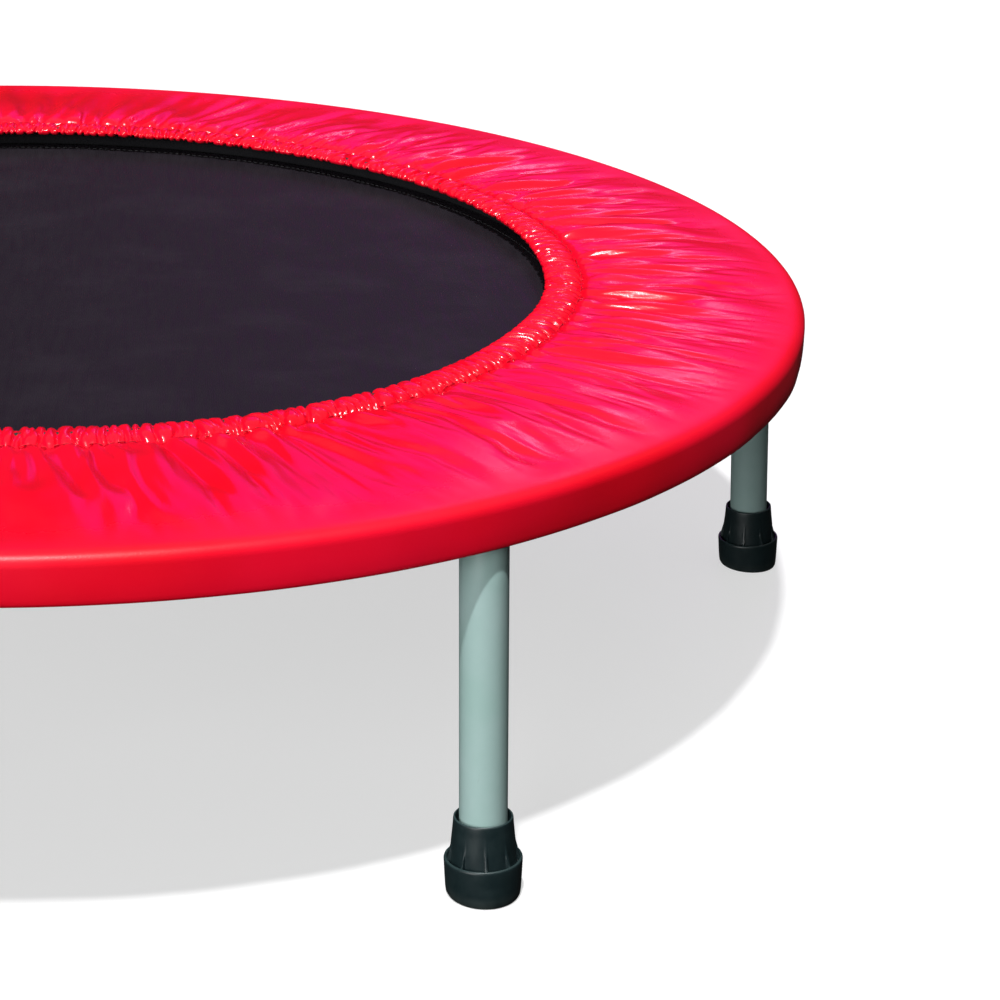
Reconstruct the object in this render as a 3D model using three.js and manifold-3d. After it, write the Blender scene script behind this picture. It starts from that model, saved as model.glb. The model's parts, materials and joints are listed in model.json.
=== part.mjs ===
// Round mini trampoline: a steel hoop on six screw-in legs with rubber feet.
// Thirty tension springs hold a woven mat inside the hoop, and a gathered vinyl
// cover with a foam ring lies over the hoop and the springs.
//
// Millimetres, +Z up. The origin is on the floor, under the middle of the mat.
// One leg stands on the +X axis, and the others follow at equal angles.

import * as THREE from 'three';
import { mergeVertices } from 'three/addons/utils/BufferGeometryUtils.js';
import Module from 'manifold-3d';

// Whole object
const COVER_R = 483;
const COVER_TOP_Z = 220;
const ROUND_STEPS = 60;
const GAP = 0.3;

// Hoop: a bent steel tube with a welded boss for each leg
const HOOP_R = 465.9;
const HOOP_Z = 205;
const HOOP_TUBE_R = 11;
const HOOP_TUBE_SIDES = 9;
const TUBE_WALL = 1.5;
const BOSS_R = 9.5;
const BOSS_END = 20;
const BOSS_BORE_R = 5.3;

// Legs: lengths run down each leg's axis, from the middle of the hoop's tube.
// Each leg's tube reaches up to the hoop, round the boss and the washer.
const LEG_COUNT = 6;
const LEG_SPLAY = THREE.MathUtils.degToRad(4.27);
const LEG_FLOOR = HOOP_Z / Math.cos(LEG_SPLAY);
const LEG_TUBE_R = 12.5;
const LEG_SIDES = 16;
const LEG_TUBE_TOP = HOOP_TUBE_R + GAP;
const WASHER_R = 10.4;
const WASHER_BORE_R = 5.4;
const WASHER_THICKNESS = 1.7;
const WASHER_SIDES = 12;
const STUD_R = 4.8;
const STUD_START = 4;
const STUD_SIDES = 10;
const PLUG_LENGTH = 13;

// Rubber feet: heights run up each leg's axis, from the floor
const FOOT_SOLE_R = 19.6;
const FOOT_SOLE_EDGE = 3;
const FOOT_FLANGE_R = 20.4;
const FOOT_FLANGE_Z = 20.8;
const FOOT_COLLAR_R = 17.5;
const FOOT_MOUTH_R = 15.3;
const FOOT_MOUTH_Z = 43.4;
const FOOT_FLOOR_Z = 7;
const FLOOR_WIDTH = 200;
const FLOOR_DEPTH = 40;

// Springs: lengths run out from the middle of the mat
const SPRING_COUNT = 30;
const COIL_R = 6;
const COIL_BORE_R = 4;
const COIL_SIDES = 6;
const COIL_START = 374;
const COIL_END = 434;
const WIRE_R = 1.25;
const WIRE_SIDES = 4;
const HOOK_BEND = 5;
const HOOK_ROOT = 1.5;
const INNER_HOOK_END = 357.5;
const OUTER_HOOK_END = 462.5;
const SPRING_HOLE_R = 3.4;
const SPRING_HOLE_SIDES = 6;

// Mat, with a webbing band sewn under its edge and one tab for each spring
const MAT_R = 346;
const MAT_Z = 203.2;
const MAT_THICKNESS = 1.4;
const BAND_INNER_R = 326;
const BAND_R = 347;
const BAND_THICKNESS = 1.4;
const TAB_R = 355;
const TAB_WIDTH = 22;

// Cover: an inverted channel of vinyl, with a rolled inner edge and a hem
const COVER_INNER_R = 321.3;
const COVER_INNER_Z = 222;
const COVER_THICKNESS = 1.2;
const COVER_ROUNDING = 3;
const INNER_ROLL_WIDTH = 15;
const INNER_ROLL_Z = 215;
const HEM_Z = 195.5;
const HEM_WIDTH = 3.6;

// Foam ring under the cover: a thick lip over the mat's edge, then over the springs, and thin over the hoop
const FOAM_INNER_R = 338;
const FOAM_LIP_R = 356;
const FOAM_LIP_Z = 206.5;
const FOAM_STEP_R = 450;
const FOAM_OUTER_R = 479;
const FOAM_BOTTOM_Z = 211.6;
const FOAM_OVER_HOOP_Z = HOOP_Z + HOOP_TUBE_R + 2 * GAP;

// Elastic cord in the cover's inner roll
const ELASTIC_R = 330;
const ELASTIC_Z = 218.4;
const ELASTIC_CORD_R = 2;
const ELASTIC_SIDES = 5;

const LEG_STEP = (2 * Math.PI) / LEG_COUNT;
const SPRING_STEP = (2 * Math.PI) / SPRING_COUNT;

const STEEL_COAT = new THREE.MeshStandardMaterial({ color: 0x96b4aa, roughness: 0.45, metalness: 0.3 });
const ZINC = new THREE.MeshStandardMaterial({ color: 0xb9bcc0, roughness: 0.35, metalness: 0.9 });
const RUBBER = new THREE.MeshStandardMaterial({ color: 0x161e1f, roughness: 0.85, metalness: 0 });
const WOVEN = new THREE.MeshStandardMaterial({ color: 0x2b2833, roughness: 0.8, metalness: 0 });
const WEBBING = new THREE.MeshStandardMaterial({ color: 0x1a1a1e, roughness: 0.9, metalness: 0 });
const VINYL = new THREE.MeshStandardMaterial({ color: 0xe60a28, roughness: 0.4, metalness: 0 });
const FOAM = new THREE.MeshStandardMaterial({ color: 0x1d1d20, roughness: 0.95, metalness: 0 });
const ELASTIC = new THREE.MeshStandardMaterial({ color: 0x202022, roughness: 0.9, metalness: 0 });

const wasm = await Module();
wasm.setup();

// Position and index only, with shared vertices merged and flat triangles dropped.
function closedGeometry(source) {
  const bare = source.clone();
  bare.deleteAttribute('normal');
  bare.deleteAttribute('uv');
  const merged = mergeVertices(bare, 1e-3);
  const index = merged.index.array;
  const kept = [];
  for (let i = 0; i < index.length; i += 3) {
    const [a, b, c] = [index[i], index[i + 1], index[i + 2]];
    if (a !== b && b !== c && c !== a) kept.push(a, b, c);
  }
  merged.setIndex(kept);
  return merged;
}

function solidFrom(source) {
  const closed = closedGeometry(source);
  const shape = new wasm.Mesh({
    numProp: 3,
    vertProperties: new Float32Array(closed.attributes.position.array),
    triVerts: new Uint32Array(closed.index.array),
  });
  return new wasm.Manifold(shape);
}

function geometryFrom(solid) {
  const shape = solid.getMesh();
  const geometry = new THREE.BufferGeometry();
  geometry.setAttribute('position', new THREE.BufferAttribute(shape.vertProperties, 3));
  geometry.setIndex(new THREE.BufferAttribute(shape.triVerts, 1));
  geometry.computeVertexNormals();
  return geometry;
}

// A profile of [radius, height] points turned about the Z axis.
function turned(profile, steps) {
  const points = profile.map(([radius, height]) => new THREE.Vector2(radius, height));
  const lathe = new THREE.LatheGeometry(points, steps);
  lathe.rotateX(Math.PI / 2);
  return lathe;
}

// A closed profile of [radius, height] points, which comes back to its first point.
function turnedRing(profile, steps) {
  return turned([...profile, profile[0]], steps);
}

// The hoop's flats, not its corners, face the legs and the springs.
function hoopTorus(tubeRadius) {
  const torus = new THREE.TorusGeometry(HOOP_R, tubeRadius, HOOP_TUBE_SIDES, ROUND_STEPS);
  torus.rotateZ(Math.PI / ROUND_STEPS);
  torus.translate(0, 0, HOOP_Z);
  return torus;
}

// A round bar down a leg's axis, between two lengths from the middle of the hoop's tube.
function barOnLegAxis(radius, start, end, legIndex) {
  const bar = new THREE.CylinderGeometry(radius, radius, end - start, STUD_SIDES);
  bar.rotateX(Math.PI / 2);
  bar.translate(0, 0, -(start + end) / 2);
  bar.rotateY(-LEG_SPLAY);
  bar.translate(HOOP_R, 0, HOOP_Z);
  bar.rotateZ(legIndex * LEG_STEP);
  return bar;
}

function springAngle(springIndex) {
  return (springIndex + 0.5) * SPRING_STEP;
}

// Straight lines through [x, y] points, added to an empty shape or hole.
function drawOutline(outline, points) {
  outline.moveTo(...points[0]);
  for (const point of points.slice(1)) outline.lineTo(...point);
  return outline;
}

function polarPoint(radius, angle) {
  return [radius * Math.cos(angle), radius * Math.sin(angle)];
}

function polygonPoints(radius, sides) {
  return Array.from({ length: sides }, (_, side) => polarPoint(radius, (side * 2 * Math.PI) / sides));
}

// A hole through the hoop's inner wall, which one spring's hook passes through.
function springHole(springIndex) {
  const hole = new THREE.CylinderGeometry(
    SPRING_HOLE_R, SPRING_HOLE_R, HOOP_TUBE_R * 2, SPRING_HOLE_SIDES);
  hole.rotateZ(Math.PI / 2);
  hole.translate(HOOP_R - HOOP_TUBE_R, 0, HOOP_Z);
  hole.rotateZ(springAngle(springIndex));
  return hole;
}

function hoopGeometry() {
  let hoop = solidFrom(hoopTorus(HOOP_TUBE_R));
  for (let leg = 0; leg < LEG_COUNT; leg += 1) {
    hoop = hoop.add(solidFrom(barOnLegAxis(BOSS_R, 0, BOSS_END, leg)));
  }
  hoop = hoop.subtract(solidFrom(hoopTorus(HOOP_TUBE_R - TUBE_WALL)));
  for (let leg = 0; leg < LEG_COUNT; leg += 1) {
    hoop = hoop.subtract(solidFrom(barOnLegAxis(BOSS_BORE_R, 0, BOSS_END + 1, leg)));
  }
  for (let spring = 0; spring < SPRING_COUNT; spring += 1) {
    hoop = hoop.subtract(solidFrom(springHole(spring)));
  }
  return geometryFrom(hoop);
}

// A spring hook: wire from the coil's rim to the coil's axis, straight out, and down.
function hookGeometry(coilFace, hookEnd) {
  const outward = Math.sign(hookEnd - coilFace);
  const middle = (COIL_R + COIL_BORE_R) / 2;
  const path = new THREE.CurvePath();
  const corners = [
    new THREE.Vector3(coilFace - outward * HOOK_ROOT, 0, middle),
    new THREE.Vector3(coilFace + outward * HOOK_BEND, 0, 0),
    new THREE.Vector3(hookEnd - outward * WIRE_R, 0, 0),
    new THREE.Vector3(hookEnd - outward * WIRE_R, 0, -HOOK_BEND),
  ];
  const wire = drawOutline(new THREE.Shape(), polygonPoints(WIRE_R, WIRE_SIDES));
  path.add(new THREE.CatmullRomCurve3(corners, false, 'catmullrom', 0.1));
  return new THREE.ExtrudeGeometry(wire, { steps: 4, extrudePath: path, bevelEnabled: false });
}

function springGeometry() {
  const coil = turnedRing([
    [COIL_BORE_R, COIL_START],
    [COIL_R, COIL_START],
    [COIL_R, COIL_END],
    [COIL_BORE_R, COIL_END],
  ], COIL_SIDES);
  coil.rotateY(Math.PI / 2);
  let spring = solidFrom(coil);
  spring = spring.add(solidFrom(hookGeometry(COIL_START, INNER_HOOK_END)));
  spring = spring.add(solidFrom(hookGeometry(COIL_END, OUTER_HOOK_END)));
  return geometryFrom(spring);
}

function washerGeometry() {
  const top = -BOSS_END - GAP;
  const bottom = top - WASHER_THICKNESS;
  return turnedRing([
    [WASHER_BORE_R, bottom],
    [WASHER_R, bottom],
    [WASHER_R, top],
    [WASHER_BORE_R, top],
  ], WASHER_SIDES);
}

function legTubeGeometry() {
  const bottom = -LEG_FLOOR + FOOT_FLOOR_Z + GAP;
  return turnedRing([
    [LEG_TUBE_R - TUBE_WALL, bottom],
    [LEG_TUBE_R, bottom],
    [LEG_TUBE_R, -LEG_TUBE_TOP],
    [LEG_TUBE_R - TUBE_WALL, -LEG_TUBE_TOP],
  ], LEG_SIDES);
}

// A threaded stud on a plug that is pressed into the leg's tube, below the washer.
function studGeometry() {
  const plugTop = -BOSS_END - WASHER_THICKNESS - 2 * GAP;
  const plugR = LEG_TUBE_R - TUBE_WALL - GAP;
  return turned([
    [0, plugTop - PLUG_LENGTH],
    [plugR, plugTop - PLUG_LENGTH],
    [plugR, plugTop],
    [STUD_R, plugTop],
    [STUD_R, -STUD_START],
    [0, -STUD_START],
  ], STUD_SIDES);
}

// The foot is cut flat where it meets the floor, because the leg leans outwards.
function footGeometry() {
  const foot = turned([
    [0, -FOOT_SOLE_EDGE],
    [FOOT_SOLE_R - FOOT_SOLE_EDGE, -FOOT_SOLE_EDGE],
    [FOOT_SOLE_R, FOOT_SOLE_EDGE],
    [FOOT_FLANGE_R, FOOT_FLANGE_Z],
    [FOOT_COLLAR_R, FOOT_FLANGE_Z],
    [FOOT_MOUTH_R, FOOT_MOUTH_Z],
    [LEG_TUBE_R + GAP, FOOT_MOUTH_Z],
    [LEG_TUBE_R + GAP, FOOT_FLOOR_Z],
    [0, FOOT_FLOOR_Z],
  ], LEG_SIDES);
  foot.translate(0, 0, -LEG_FLOOR);
  foot.rotateY(-LEG_SPLAY);
  foot.translate(HOOP_R, 0, HOOP_Z);
  const floor = new THREE.BoxGeometry(FLOOR_WIDTH, FLOOR_WIDTH, FLOOR_DEPTH);
  floor.translate(HOOP_R + LEG_FLOOR * Math.sin(LEG_SPLAY), 0, -FLOOR_DEPTH / 2);
  return geometryFrom(solidFrom(foot).subtract(solidFrom(floor)));
}

function matGeometry() {
  return turned([
    [0, MAT_Z],
    [MAT_R, MAT_Z],
    [MAT_R, MAT_Z + MAT_THICKNESS],
    [0, MAT_Z + MAT_THICKNESS],
  ], ROUND_STEPS);
}

function bandGeometry() {
  const halfRoot = TAB_WIDTH / 2 / BAND_R;
  const halfEnd = TAB_WIDTH / 2 / TAB_R;
  const edge = [];
  for (let spring = 0; spring < SPRING_COUNT; spring += 1) {
    const middle = springAngle(spring);
    edge.push(
      polarPoint(BAND_R, middle - SPRING_STEP / 2),
      polarPoint(BAND_R, middle - halfRoot),
      polarPoint(TAB_R, middle - halfEnd),
      polarPoint(TAB_R, middle + halfEnd),
      polarPoint(BAND_R, middle + halfRoot),
    );
  }
  const outline = drawOutline(new THREE.Shape(), edge);
  outline.holes.push(drawOutline(new THREE.Path(), polygonPoints(BAND_INNER_R, ROUND_STEPS)));
  const band = new THREE.ExtrudeGeometry(outline, { depth: BAND_THICKNESS, bevelEnabled: false });
  band.translate(0, 0, MAT_Z - GAP - BAND_THICKNESS);
  return band;
}

// Height of the cover's top face, which falls a little from the inner edge outwards.
function coverTopAt(radius) {
  const share = (radius - COVER_INNER_R) / (COVER_R - COVER_INNER_R);
  return COVER_INNER_Z + share * (COVER_TOP_Z - COVER_INNER_Z);
}

function coverGeometry() {
  const t = COVER_THICKNESS;
  const round = COVER_ROUNDING;
  const innerTopR = COVER_INNER_R + round;
  const outerTopR = COVER_R - round;
  return turnedRing([
    [COVER_INNER_R, INNER_ROLL_Z],
    [COVER_INNER_R + INNER_ROLL_WIDTH, INNER_ROLL_Z],
    [COVER_INNER_R + INNER_ROLL_WIDTH, INNER_ROLL_Z + t],
    [COVER_INNER_R + t, INNER_ROLL_Z + t],
    [COVER_INNER_R + t, coverTopAt(innerTopR) - round],
    [innerTopR + t / 2, coverTopAt(innerTopR) - t],
    [outerTopR - t / 2, COVER_TOP_Z - t],
    [COVER_R - t, COVER_TOP_Z - round],
    [COVER_R - t, HEM_Z + t],
    [COVER_R - HEM_WIDTH, HEM_Z + t],
    [COVER_R - HEM_WIDTH, HEM_Z],
    [COVER_R, HEM_Z],
    [COVER_R, COVER_TOP_Z - round],
    [outerTopR, COVER_TOP_Z],
    [innerTopR, coverTopAt(innerTopR)],
    [COVER_INNER_R, coverTopAt(innerTopR) - round],
  ], ROUND_STEPS);
}

function foamGeometry() {
  const below = COVER_THICKNESS + 2 * GAP;
  return turnedRing([
    [FOAM_INNER_R, FOAM_LIP_Z],
    [FOAM_LIP_R, FOAM_LIP_Z],
    [FOAM_LIP_R, FOAM_BOTTOM_Z],
    [FOAM_STEP_R, FOAM_BOTTOM_Z],
    [FOAM_STEP_R, FOAM_OVER_HOOP_Z],
    [FOAM_OUTER_R, FOAM_OVER_HOOP_Z],
    [FOAM_OUTER_R, coverTopAt(FOAM_OUTER_R) - below],
    [FOAM_INNER_R, coverTopAt(FOAM_INNER_R) - below],
  ], ROUND_STEPS);
}

function elasticGeometry() {
  const elastic = new THREE.TorusGeometry(ELASTIC_R, ELASTIC_CORD_R, ELASTIC_SIDES, ROUND_STEPS);
  elastic.translate(0, 0, ELASTIC_Z);
  return elastic;
}

const group = new THREE.Group();

function addMesh(parent, name, geometry, material) {
  const mesh = new THREE.Mesh(geometry, material);
  mesh.name = name;
  parent.add(mesh);
}

addMesh(group, 'frame_ring', hoopGeometry(), STEEL_COAT);
addMesh(group, 'mat', matGeometry(), WOVEN);
addMesh(group, 'mat_edge_band', bandGeometry(), WEBBING);
addMesh(group, 'pad_cover', coverGeometry(), VINYL);
addMesh(group, 'pad_foam', foamGeometry(), FOAM);
addMesh(group, 'inner_elastic', elasticGeometry(), ELASTIC);

const footShape = footGeometry();
const tubeShape = legTubeGeometry();
const studShape = studGeometry();
const washerShape = washerGeometry();

for (let leg = 0; leg < LEG_COUNT; leg += 1) {
  const upright = new THREE.Group();
  upright.rotation.z = leg * LEG_STEP;
  group.add(upright);
  addMesh(upright, `foot_tip_${leg + 1}`, footShape, RUBBER);
  const leaning = new THREE.Group();
  leaning.position.set(HOOP_R, 0, HOOP_Z);
  leaning.rotation.y = -LEG_SPLAY;
  upright.add(leaning);
  addMesh(leaning, `leg_tube_${leg + 1}`, tubeShape, STEEL_COAT);
  addMesh(leaning, `leg_stud_${leg + 1}`, studShape, ZINC);
  addMesh(leaning, `leg_washer_${leg + 1}`, washerShape, ZINC);
}

const springShape = springGeometry();

for (let spring = 0; spring < SPRING_COUNT; spring += 1) {
  const radial = new THREE.Group();
  radial.position.z = HOOP_Z;
  radial.rotation.z = springAngle(spring);
  group.add(radial);
  const number = String(spring + 1).padStart(2, '0');
  addMesh(radial, `spring_${number}`, springShape, ZINC);
}

export default group;
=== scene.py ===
import json
import math

import bmesh
import bpy
import numpy as np
from mathutils import Matrix, Vector


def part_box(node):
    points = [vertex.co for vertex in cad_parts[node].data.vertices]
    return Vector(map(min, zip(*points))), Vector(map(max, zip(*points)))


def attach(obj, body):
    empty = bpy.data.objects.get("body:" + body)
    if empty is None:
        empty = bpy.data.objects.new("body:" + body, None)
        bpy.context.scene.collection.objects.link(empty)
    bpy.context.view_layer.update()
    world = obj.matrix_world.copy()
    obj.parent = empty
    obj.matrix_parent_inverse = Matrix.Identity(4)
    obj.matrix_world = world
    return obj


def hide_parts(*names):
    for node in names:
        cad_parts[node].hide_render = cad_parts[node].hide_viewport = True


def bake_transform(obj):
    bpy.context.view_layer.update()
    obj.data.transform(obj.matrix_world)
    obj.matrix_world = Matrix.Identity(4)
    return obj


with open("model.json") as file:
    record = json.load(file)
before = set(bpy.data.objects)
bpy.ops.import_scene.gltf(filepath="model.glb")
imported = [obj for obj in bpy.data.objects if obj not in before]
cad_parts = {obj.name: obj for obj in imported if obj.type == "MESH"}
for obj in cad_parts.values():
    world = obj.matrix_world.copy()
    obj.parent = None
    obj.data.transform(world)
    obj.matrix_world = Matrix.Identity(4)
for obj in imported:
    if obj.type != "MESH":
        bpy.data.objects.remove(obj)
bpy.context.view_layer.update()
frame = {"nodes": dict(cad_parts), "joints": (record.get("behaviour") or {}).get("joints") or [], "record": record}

# ---------- sizes, from the frame

cover_low, cover_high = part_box("pad_cover")
mat_low, mat_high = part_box("mat")
band_low, band_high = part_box("mat_edge_band")

LEG_COUNT = sum(name.startswith("leg_tube_") for name in frame["nodes"])
SPRING_COUNT = sum(name.startswith("spring_") for name in frame["nodes"])
FULL_TURN = 2 * math.pi

first_leg = next(joint for joint in frame["joints"] if joint["name"] == "leg_1_unscrew")
HOOP_R, _, HOOP_Z = first_leg["pos_m"]
LEG_SPLAY = math.atan2(first_leg["axis"][0], -first_leg["axis"][2])
LEG_FLOOR = HOOP_Z / math.cos(LEG_SPLAY)
THREAD_PITCH = FULL_TURN / frame["record"]["behaviour"]["couplings"][0]["ratio"]

COVER_R = cover_high.x
HEM_Z = cover_low.z
MAT_R = mat_high.x
MAT_TOP = mat_high.z
MAT_BOTTOM = mat_low.z
BAND_BOTTOM = band_low.z
BAND_TOP = band_high.z

MM = 0.001

# The hoop and the legs. Tops, ends and bottoms are depths on a leg's axis, below the middle of the
# hoop's tube.
HOOP_TUBE_R = 11 * MM
TUBE_WALL = 1.5 * MM
BOSS_R = 9.5 * MM
BOSS_END = 20 * MM
BOSS_BORE_R = 5.3 * MM
WASHER_R = 10.4 * MM
WASHER_BORE_R = 5.4 * MM
WASHER_TOP = 20.3 * MM
WASHER_BOTTOM = 22 * MM
LEG_TUBE_R = 12.5 * MM
LEG_TUBE_TOP = HOOP_TUBE_R + 0.3 * MM
FOOT_FLOOR = 7 * MM
STUD_R = 4.8 * MM
STUD_START = 4 * MM
PLUG_TOP = 22.3 * MM
PLUG_BOTTOM = 35.3 * MM

# The springs, the mat's edge and the cover. Starts, ends and hooks are distances from the middle of
# the mat.
COIL_START = 374 * MM
COIL_END = 434 * MM
COIL_R = 6 * MM
WIRE_R = 1.25 * MM
INNER_HOOK = 358.75 * MM
OUTER_HOOK = 461.25 * MM
HOOK_DROP = 5 * MM
SPRING_HOLE_R = 3.4 * MM
BAND_INNER_R = 326 * MM
BAND_R = 347 * MM
TAB_R = 355 * MM
TAB_WIDTH = 22 * MM
INNER_EDGE_R = 321.3 * MM
CREASE_R = 344.5 * MM
ELASTIC_R = 330 * MM
ELASTIC_Z = 218.8 * MM
RIM_TOP = 220.3 * MM

SEED = 38
random = np.random.default_rng(SEED)


# ---------- mesh helpers

def linked_object(name, data):
    made = bpy.data.objects.new(name, data)
    bpy.context.scene.collection.objects.link(made)
    return made


def mesh_object(name, points, faces, smooth=True):
    mesh = bpy.data.meshes.new(name)
    mesh.from_pydata(np.asarray(points, float).tolist(), [], faces)
    mesh.update()
    mesh.polygons.foreach_set("use_smooth", [smooth] * len(mesh.polygons))
    return linked_object(name, mesh)


def ring_angles(count):
    return np.arange(count) * FULL_TURN / count


def push_out(points, reach, angle):
    """Moves rows of points away from the Z axis, each by the reach at its angle."""
    points[..., 0] += reach * np.cos(angle)
    points[..., 1] += reach * np.sin(angle)


def end_faces(rows, columns):
    """The two faces that close a grid at its first and last rows."""
    last = (rows - 1) * columns
    return [list(range(columns))[::-1], list(range(last, last + columns))]


def grid_faces(rows, columns, close_rows=False):
    """Quads of a grid of points whose columns go all the way round."""
    row = np.arange(rows if close_rows else rows - 1)[:, None]
    column = np.arange(columns)[None, :]
    next_row = (row + 1) % rows
    next_column = (column + 1) % columns
    quads = np.stack([
        row * columns + column,
        row * columns + next_column,
        next_row * columns + next_column,
        next_row * columns + column,
    ], axis=-1).reshape(-1, 4)
    return quads.tolist()


def round_points(radius, angle, height):
    """Points from their distance from the Z axis, their angle and their height."""
    radius, angle, height = np.broadcast_arrays(radius, angle, height)
    return np.stack([radius * np.cos(angle), radius * np.sin(angle), height], axis=-1)


def turned_points(profile, columns):
    """Points of a profile of (radius, height) turned about the Z axis, row by row."""
    profile = np.asarray(profile, float)
    return round_points(profile[:, :1], ring_angles(columns), profile[:, 1:])


def turned_mesh(profile, columns):
    """Points and faces of a ring with a closed section."""
    faces = grid_faces(len(profile), columns, close_rows=True)
    return turned_points(profile, columns).reshape(-1, 3), faces


def turned(name, profile, columns):
    return mesh_object(name, *turned_mesh(profile, columns))


def bevelled_section(inner, outer, low, high, edge):
    """A rectangle of (radius, height) with its corners cut off."""
    return [
        (inner, low + edge), (inner + edge, low), (outer - edge, low), (outer, low + edge),
        (outer, high - edge), (outer - edge, high), (inner + edge, high), (inner, high - edge),
    ]


def tube_mesh(path, radius, sides, closed=False):
    """Points and faces of a round tube along a path, with its ends closed."""
    path = np.asarray(path, float)
    count = len(path)
    if closed:
        ahead = np.roll(path, -1, axis=0) - np.roll(path, 1, axis=0)
    else:
        ahead = np.gradient(path, axis=0)
    ahead /= np.linalg.norm(ahead, axis=1)[:, None]
    off_path = [0.3, 0.2, 1.0]
    side = np.cross(ahead[0], off_path)
    sides_at = []
    for direction in ahead:
        side = side - direction * (side @ direction)
        side = side / np.linalg.norm(side)
        sides_at.append(side)
    sides_at = np.array(sides_at)
    other = np.cross(ahead, sides_at)
    angle = ring_angles(sides)
    radius = np.broadcast_to(radius, count)[:, None, None]
    points = (
        path[:, None, :]
        + radius * np.cos(angle)[None, :, None] * sides_at[:, None, :]
        + radius * np.sin(angle)[None, :, None] * other[:, None, :]
    )
    faces = grid_faces(count, sides, closed)
    if not closed:
        faces += end_faces(count, sides)
    return points.reshape(-1, 3), faces


def joined(name, parts):
    """One object from several (points, faces)."""
    points = []
    faces = []
    start = 0
    for part_points, part_faces in parts:
        points.append(part_points)
        faces.extend([[i + start for i in face] for face in part_faces])
        start += len(part_points)
    return mesh_object(name, np.concatenate(points), faces)


def turned_by(points, angle):
    cos, sin = math.cos(angle), math.sin(angle)
    spin = np.array([[cos, sin, 0], [-sin, cos, 0], [0, 0, 1]])
    return np.asarray(points, float) @ spin


def at_each_spring(points):
    """The same points turned to each spring's place."""
    angles = (np.arange(SPRING_COUNT) + 0.5) * FULL_TURN / SPRING_COUNT
    return [turned_by(points, angle) for angle in angles]


def on_leg_axis(points, leg):
    """Points made about the Z axis, with depth below the hoop as -Z, moved to one leg's axis."""
    lean = np.array(Matrix.Rotation(-LEG_SPLAY, 3, "Y"))
    moved = np.asarray(points, float) @ lean.T + np.array([HOOP_R, 0, HOOP_Z])
    return turned_by(moved, leg * FULL_TURN / LEG_COUNT)


def side_directions(line):
    """The direction square to a flat line, to its left, at each of its points."""
    ahead = np.gradient(line, axis=0)
    ahead /= np.linalg.norm(ahead, axis=1)[:, None]
    return np.stack([-ahead[:, 1], ahead[:, 0]], axis=1)


def wrapped(angle):
    """The same angle between minus and plus half a turn."""
    return (angle + math.pi) % FULL_TURN - math.pi


def softened(points, rounds, first, last):
    """Evens out a band of rows: each becomes half itself and half its two neighbours."""
    for _ in range(rounds):
        around = points[first - 1:last - 1] + points[first + 1:last + 1]
        points[first:last] = 0.5 * points[first:last] + 0.25 * around
    return points


def smooth_step(share):
    share = np.clip(share, 0, 1)
    return share * share * (3 - 2 * share)


def outward(obj, merge=False):
    """Turns the faces of a closed piece outwards, and first merges its points that lie together."""
    work = bmesh.new()
    work.from_mesh(obj.data)
    if merge:
        bmesh.ops.remove_doubles(work, verts=work.verts, dist=1e-6)
    bmesh.ops.recalc_face_normals(work, faces=work.faces)
    work.to_mesh(obj.data)
    work.free()
    return obj


def sharp_edges(obj, degrees=35):
    obj.data.set_sharp_from_angle(angle=math.radians(degrees))


# ---------- material helpers

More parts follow.
